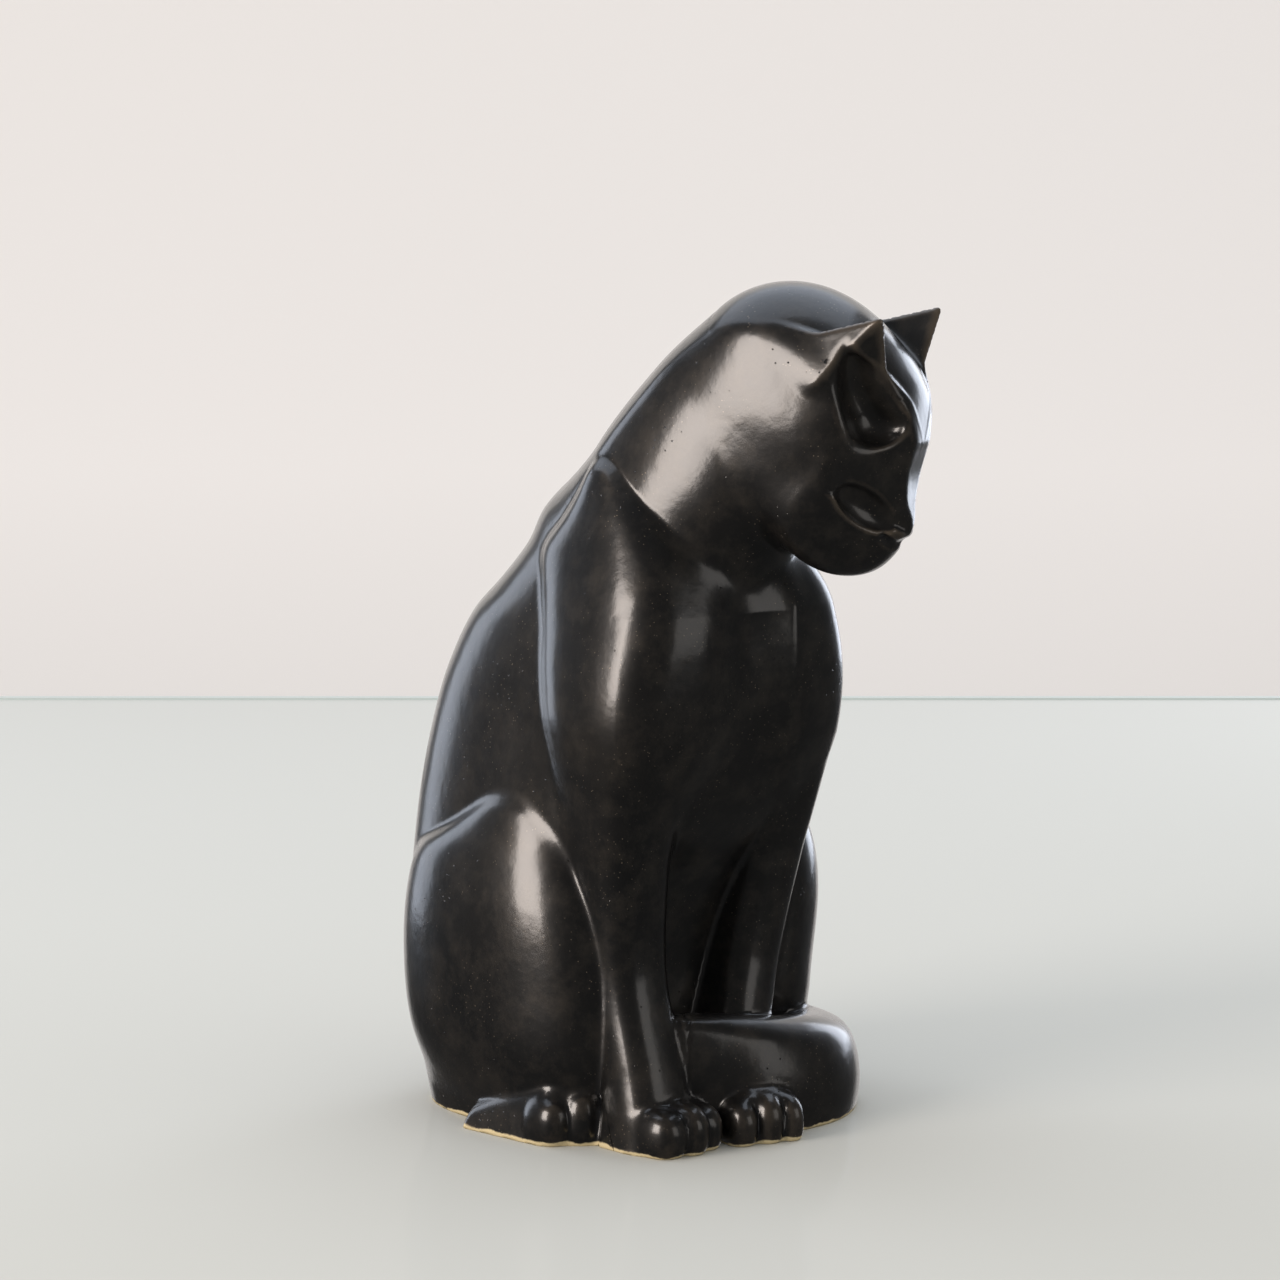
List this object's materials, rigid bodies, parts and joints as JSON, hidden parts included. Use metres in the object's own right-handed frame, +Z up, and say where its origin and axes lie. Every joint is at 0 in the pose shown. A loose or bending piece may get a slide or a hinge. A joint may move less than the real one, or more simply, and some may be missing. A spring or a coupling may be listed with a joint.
{
  "type": "ceramic cat figurine",
  "caption": "Seated cat figurine in dark glazed ceramic, head bowed and turned, hollow, with a base slab and a rubber stopper.",
  "frame": {"origin": "on the ground, on the underside of the base slab, midway between the right and left sides", "axes": "+Z up; the cat's chest faces -Y; its left side is +X; the head is turned towards +X"},
  "size_m": [0.1385, 0.1912, 0.2808],
  "materials": {
    "glaze": "semi-gloss black with a bronze sheen",
    "bare_clay": "matt unglazed cream clay",
    "rubber": "matt black rubber"
  },
  "bodies": {
    "figurine": {"body_shell": "glaze", "head_shell": "glaze", "right_ear": "glaze", "left_ear": "glaze", "right_foreleg": "glaze", "left_foreleg": "glaze", "right_haunch": "glaze", "left_haunch": "glaze", "right_forepaw": "glaze", "left_forepaw": "glaze", "right_hind_paw": "glaze", "tail": "glaze", "base_slab": "bare_clay"},
    "stopper": {"stopper": "rubber"}
  },
  "joints": [
    {"name": "stopper_pull", "type": "slide", "parent": "figurine", "child": "stopper", "axis": [0, 0, -1], "range_m": [0, 0.02]}
  ]
}
